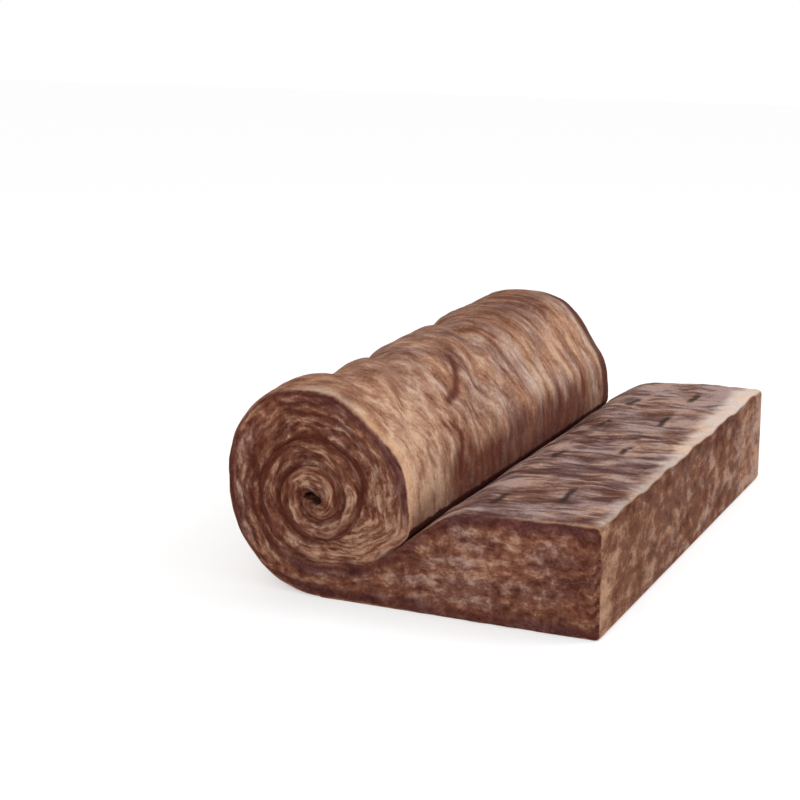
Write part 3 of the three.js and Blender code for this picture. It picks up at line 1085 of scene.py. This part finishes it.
    def colour(self, lights):
        """The faces joined at their corners, with painted shade in the crease and a tint over them all."""
        tone = {face: self.toned(face, light) for face, light in lights.items()}
        skin = self.shader.layered(tone["skin"], self.skin_layers())
        top = self.shader.layered(tone["top"], self.top_layers())
        edge = self.shader.layered(tone["edge"], self.edge_layers(lights["edge"]))
        on_skin = (self.lower - self.upper).between(-0.1, 0.1)
        off_cut = (self.lower + self.upper).between(0.3, 0.7)
        corner = self.uneven((60, 60, 60))
        at_edge = (self.side + corner * 0.6).between(0.35, 0.75)
        on_edge = at_edge.maximum(self.wound.between(0.3, 0.7))
        face = self.shader.layered(top, [(on_skin, skin), (self.crease(), self.colours.crease_shade)])
        surface = self.shader.layered(tone["cut"], [(off_cut, face), (on_edge, edge)])
        return self.shader.mix(1.0, surface, self.tint(), "MULTIPLY")

    def toned(self, face, light):
        """A face's own three colours, by its light."""
        shades = [getattr(self.colours, face + shade) for shade in ("_dark", "", "_light")]
        return self.shader.tones(light, shades)

    def skin_layers(self):
        """The masks and colours of what lies on the roll's skin."""
        colours = self.colours
        rim = self.shader.mix(self.rim_crown(), colours.rim, colours.painted_highlight)
        return [
            (self.shaded_skin(), colours.skin_shade),
            (self.far_rim_shade(), colours.ring),
            (self.lit_rim(), rim),
        ]

    def top_layers(self):
        """The masks and colours of what lies on the flat mat's top."""
        return [(self.lit_lip(), self.colours.painted_highlight), (self.cutting_marks(), self.colours.mark)]

    def edge_layers(self, light):
        """The masks and colours of what lies on the long edges."""
        colours = self.colours
        edge_shade = self.shader.mix(light.clamp(), colours.edge_shade, colours.edge_shade_light)
        reddened = (self.wound + self.thin_rim() * 0.7).clamp()
        return [
            (self.middle_ring(), colours.ring),
            (self.shade_near_faces(), self.shader.mix(reddened, edge_shade, colours.ring)),
            (self.red_blots(), colours.ring),
            (self.lit_edge(), colours.rim),
        ]

    def tint(self):
        """Warmer and cooler patches, with fine light and dark fibres."""
        patches = self.noise((10, 12, 30)).between(0.4, 0.6)
        unlit = (self.side + self.upper + self.across.between(-0.6, -0.1)).clamp()
        unwound = 1 - self.wound * 0.6
        off_lip = 1 - self.lit_lip() * self.upper * 0.2
        cooler = patches * unlit * unwound * off_lip
        tint = self.shader.mix(cooler, self.colours.warm, self.colours.cool)
        brightness = self.fine * 0.5 + 1
        return self.shader.scaled(tint, self.shader.vector(brightness, brightness, brightness))

    # On the roll's skin.

    def crease(self):
        """Painted shade where the roll meets the flat mat, in a line of uneven width, wider at the near
        end.
        """
        uneven = self.uneven((0, 30, 0))
        near = self.across.below(-0.6, 0.3)
        width = self.lower * 0.012 + near * 0.005 + 0.009 + uneven * 0.014
        return (self.from_crease - width).below(0.0, 0.006) * 0.95

    def shaded_skin(self):
        """Painted shade in the folds, which are also pressed into the mesh, and a reddish painted shade on
        the roll over the crease and at its near end.
        """
        fingers = self.streaks((3, 30, 0)) - 0.5
        over_crease = (self.turn + self.ragged * 0.06 + fingers * 0.10).between(0.685, 0.745)
        middle = self.across.within(-0.47, -0.37, 0.40, 0.52)
        near_end = self.across.below(-0.5, -0.37)
        near_shade = self.turn.between(0.730, 0.770) * near_end
        folds = (self.fold + self.ragged * 0.5).between(0.1, 1.0)
        return largest([folds * 0.9, over_crease * middle * 0.8, near_shade * 0.5])

    def far_rim_shade(self):
        """Painted shade, dark red, round the far end, from the top of the roll down its side."""
        at_end = (self.across + self.ragged * 0.02).between(0.540, 0.562)
        return at_end * self.turn.between(0.5, 0.56) * 0.85

    def lit_rim(self):
        """Painted highlight along the near rim, from the top of the roll down its side."""
        uneven = self.uneven((16, 0, 0))
        at_rim = (self.across + uneven * 0.04).below(-0.596, -0.568)
        return at_rim * self.turn.between(0.42, 0.5) * (0.34 + self.rim_crown() * 0.2)

    def rim_crown(self):
        """1 where the painted highlight on the near rim is brightest, just past the top of the roll."""
        return self.turn.within(0.44, 0.5, 0.55, 0.62)

    # On the flat mat's top.

    def lit_lip(self):
        """A painted highlight where the top meets the free end, in a strip of uneven width."""
        uneven = self.uneven((18, 30, 0))
        far = self.across.between(-0.6, 0.5)
        in_strip = (self.along - uneven * 0.06 - far * 0.030).below(0.0, 0.034)
        return in_strip * (far * 0.4 + 0.5)

    def cutting_marks(self):
        """Short dark cuts across the mat's top, in two rows."""
        uneven = self.uneven((34, 20, 0)) * 0.012
        half = MARK_LENGTH / 2
        rows = []
        for row, places in CUTTING_MARKS.items():
            in_row = (abs(self.true_along - row) + uneven).below(0.002, 0.012)
            marks = [abs(self.true_across - middle).below(half - 0.03, half) for middle in places]
            rows.append(in_row * largest(marks))
        return largest(rows) * 0.9

    # On the long edges.

    def shade_near_faces(self):
        """Painted shade along the mat's long edges, just inside its faces and between its turns."""
        uneven = self.uneven((12, 0, 24), detail=4)
        spread = self.noise((9, 0, 0)) * 1.2 + 0.4
        width = (0.038 - self.thin_rim() * 0.020) * (1 - self.wound * 0.6) * spread
        at_face = ((self.from_face + uneven * 0.018) / width).below(0.4, 1.0)
        broken = self.wound * self.noise((6, 0, 3)).between(0.42, 0.66)
        at_nip = self.turn.within(0.72, 0.80, 0.92, 1.04)
        strength = (1 - broken * 0.55) * (1 - at_nip * 0.7) * (1 - self.core * 0.35) * 0.85
        return at_face * strength

    def thin_rim(self):
        """1 at the flank away from the flat mat, where the painted shade inside the rim is thin and deep
        red.
        """
        return self.turn.within(0.02, 0.10, 0.36, 0.56)

    def red_blots(self):
        """Dark red patches, a few centimetres long, in the turns inside the roll."""
        return self.noise((20, 40, 80)).between(0.52, 0.64) * self.wound * 0.6

    def middle_ring(self):
        """A dark ring, here and there, deep inside the outermost turn."""
        uneven = self.uneven((10, 0, 20))
        in_ring = abs(self.deep - 0.053 + uneven * 0.014).below(0.002, 0.010)
        outermost = self.turn.within(0.03, 0.12, 0.70, 0.78)
        broken = self.noise((5, 0, 2)).between(0.36, 0.58)
        return in_ring * outermost * (0.35 + broken * 0.5)

    def lit_edge(self):
        """A painted highlight along the flat mat's long edges, right under its top."""
        uneven = self.uneven((20, 0, 0))
        at_face = (self.from_face + uneven * 0.014).below(0.001, 0.008)
        at_top = at_face * self.deep.between(0.10, 0.12)
        near_free_end = self.along.below(0.10, 0.26)
        return at_top * near_free_end * (0.65 + uneven)

    # Hollows and fibres.

    def bump(self, lights):
        """Each face's own light and dark as height, over matted fibres that run every way."""
        shader = self.shader
        height = lights["skin"] * self.lower + lights["top"] * self.upper + lights["edge"] * self.side
        coarse = shader.bump(height.clamp(), distance=0.005, strength=0.5)
        matting = self.noise((90, 90, 150), 4, 0.7)
        middling = shader.bump(matting, distance=0.005, strength=0.65, normal=coarse)
        fibres = largest([self.fibres(heading) for heading in self.HEADINGS])
        return shader.bump(fibres, distance=0.0015, strength=0.8, normal=middling)

    def fibres(self, heading):
        """Thin fibres that run at an angle to the length of the mat."""
        cos, sin = math.cos(heading), math.sin(heading)
        run = self.along * cos + self.across * sin
        beside = self.across * cos - self.along * sin
        places = self.shader.vector(run, beside, self.deep)
        return self.shader.threads(self.shader.scaled(places, self.FIBRES))


# ---------------------------------------------------------------- the stage


def add_camera(context, studio):
    camera = bpy.data.objects.new("camera", bpy.data.cameras.new("camera"))
    camera.location = studio.camera_place
    camera.rotation_euler = (math.pi / 2 - studio.elevation, 0, studio.azimuth)
    camera.data.sensor_width = SENSOR_WIDTH
    camera.data.lens = studio.focal_length
    camera.data.clip_end = SIGHT
    context.scene.collection.objects.link(camera)
    context.scene.camera = camera


def add_lamp(context, studio, name):
    """A round lamp, with its place, width and power from the studio's settings of its name."""
    lamp = bpy.data.objects.new(name, bpy.data.lights.new(name, "AREA"))
    lamp.data.shape = "DISK"
    lamp.data.size = getattr(studio, f"{name}_width")
    lamp.data.energy = getattr(studio, f"{name}_power")
    lamp.location = getattr(studio, f"{name}_place")
    heading = Vector(studio.target) - lamp.location
    lamp.rotation_euler = heading.to_track_quat("-Z", "Y").to_euler()
    context.scene.collection.objects.link(lamp)


def add_floor(context, studio):
    """A white floor that keeps the mat's shadow, and is white where there is none."""
    half = studio.floor_width / 2
    mesh = bpy.data.meshes.new("floor")
    corners = [(-half, -half, 0), (half, -half, 0), (half, half, 0), (-half, half, 0)]
    mesh.from_pydata(corners, [], [(0, 1, 2, 3)])
    floor = bpy.data.objects.new("floor", mesh)
    context.scene.collection.objects.link(floor)
    shader = Shader("white_floor", roughness=0.9, specular=0)
    shader.surface.inputs["Base Color"].default_value = FLOOR_WHITE
    glow = shader.node("ShaderNodeEmission", values={"Color": WHITE, "Strength": studio.floor_glow})
    seen = shader.node("ShaderNodeLightPath", output="Is Camera Ray") * studio.glow_share
    bsdf = Value(shader, shader.surface.outputs[0])
    mixed = shader.node("ShaderNodeMixShader", values={0: seen, 1: bsdf, 2: glow})
    output = shader.tree.nodes["Material Output"]
    shader.feed(output.inputs["Surface"], mixed)
    mesh.materials.append(shader.material)


def add_sky(context, studio):
    """White where the camera sees it, and a plain soft light for everything else."""
    world = bpy.data.worlds.new("studio")
    context.scene.world = world
    world.use_nodes = True
    nodes, links = world.node_tree.nodes, world.node_tree.links
    background = nodes["Background"]
    background.inputs["Color"].default_value = WHITE
    light_path = nodes.new("ShaderNodeLightPath")
    strength = nodes.new("ShaderNodeMapRange")
    links.new(light_path.outputs["Is Camera Ray"], strength.inputs["Value"])
    strength.inputs["To Min"].default_value = studio.sky_strength
    strength.inputs["To Max"].default_value = 1.0
    links.new(strength.outputs[0], background.inputs["Strength"])


# ---------------------------------------------------------------- the add-on


class WOOL_OT_mat(bpy.types.Operator):
    """Make the mat of glass wool, rolled up at one end"""

    bl_idname = "wool.mat"
    bl_label = "Wool mat"

    def execute(self, context):
        mat = make_mat(context)
        mat.data.materials.append(Wool(context.scene.wool_colours).material)
        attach(mat, BODY)
        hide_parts(NODE)
        return {"FINISHED"}


class WOOL_OT_stage(bpy.types.Operator):
    """Set up the camera, the floor and the lights"""

    bl_idname = "wool.stage"
    bl_label = "Stage"

    def execute(self, context):
        studio = context.scene.wool_studio
        add_camera(context, studio)
        add_floor(context, studio)
        add_sky(context, studio)
        add_lamp(context, studio, "key")
        add_lamp(context, studio, "fill")
        context.scene.view_settings.view_transform = "Standard"
        return {"FINISHED"}


class WOOL_PT_panel(bpy.types.Panel):
    """The wool roll's pieces, sizes and colours"""

    bl_idname = "WOOL_PT_panel"
    bl_label = "Wool roll"
    bl_space_type = "VIEW_3D"
    bl_region_type = "UI"
    bl_category = "Wool roll"

    def draw(self, context):
        for name in SETTINGS:
            group = getattr(context.scene, name)
            column = self.layout.column(align=True)
            for key in group.bl_rna.properties.keys():
                if key not in ("name", "rna_type"):
                    column.prop(group, key)
        for operator in OPERATORS:
            self.layout.operator(operator.bl_idname)


SETTINGS = {
    "wool_sizes": MatSizes,
    "wool_mesh": MatMesh,
    "wool_colours": WoolColours,
    "wool_studio": Studio,
}
OPERATORS = (WOOL_OT_stage, WOOL_OT_mat)
CLASSES = (*SETTINGS.values(), *OPERATORS, WOOL_PT_panel)


def register():
    for cls in CLASSES:
        bpy.utils.register_class(cls)
    for name, group in SETTINGS.items():
        setattr(bpy.types.Scene, name, PointerProperty(type=group))


def unregister():
    for name in SETTINGS:
        delattr(bpy.types.Scene, name)
    for cls in reversed(CLASSES):
        bpy.utils.unregister_class(cls)


def main():
    register()
    bpy.ops.wool.stage()
    bpy.ops.wool.mat()


if __name__ == "__main__":
    main()
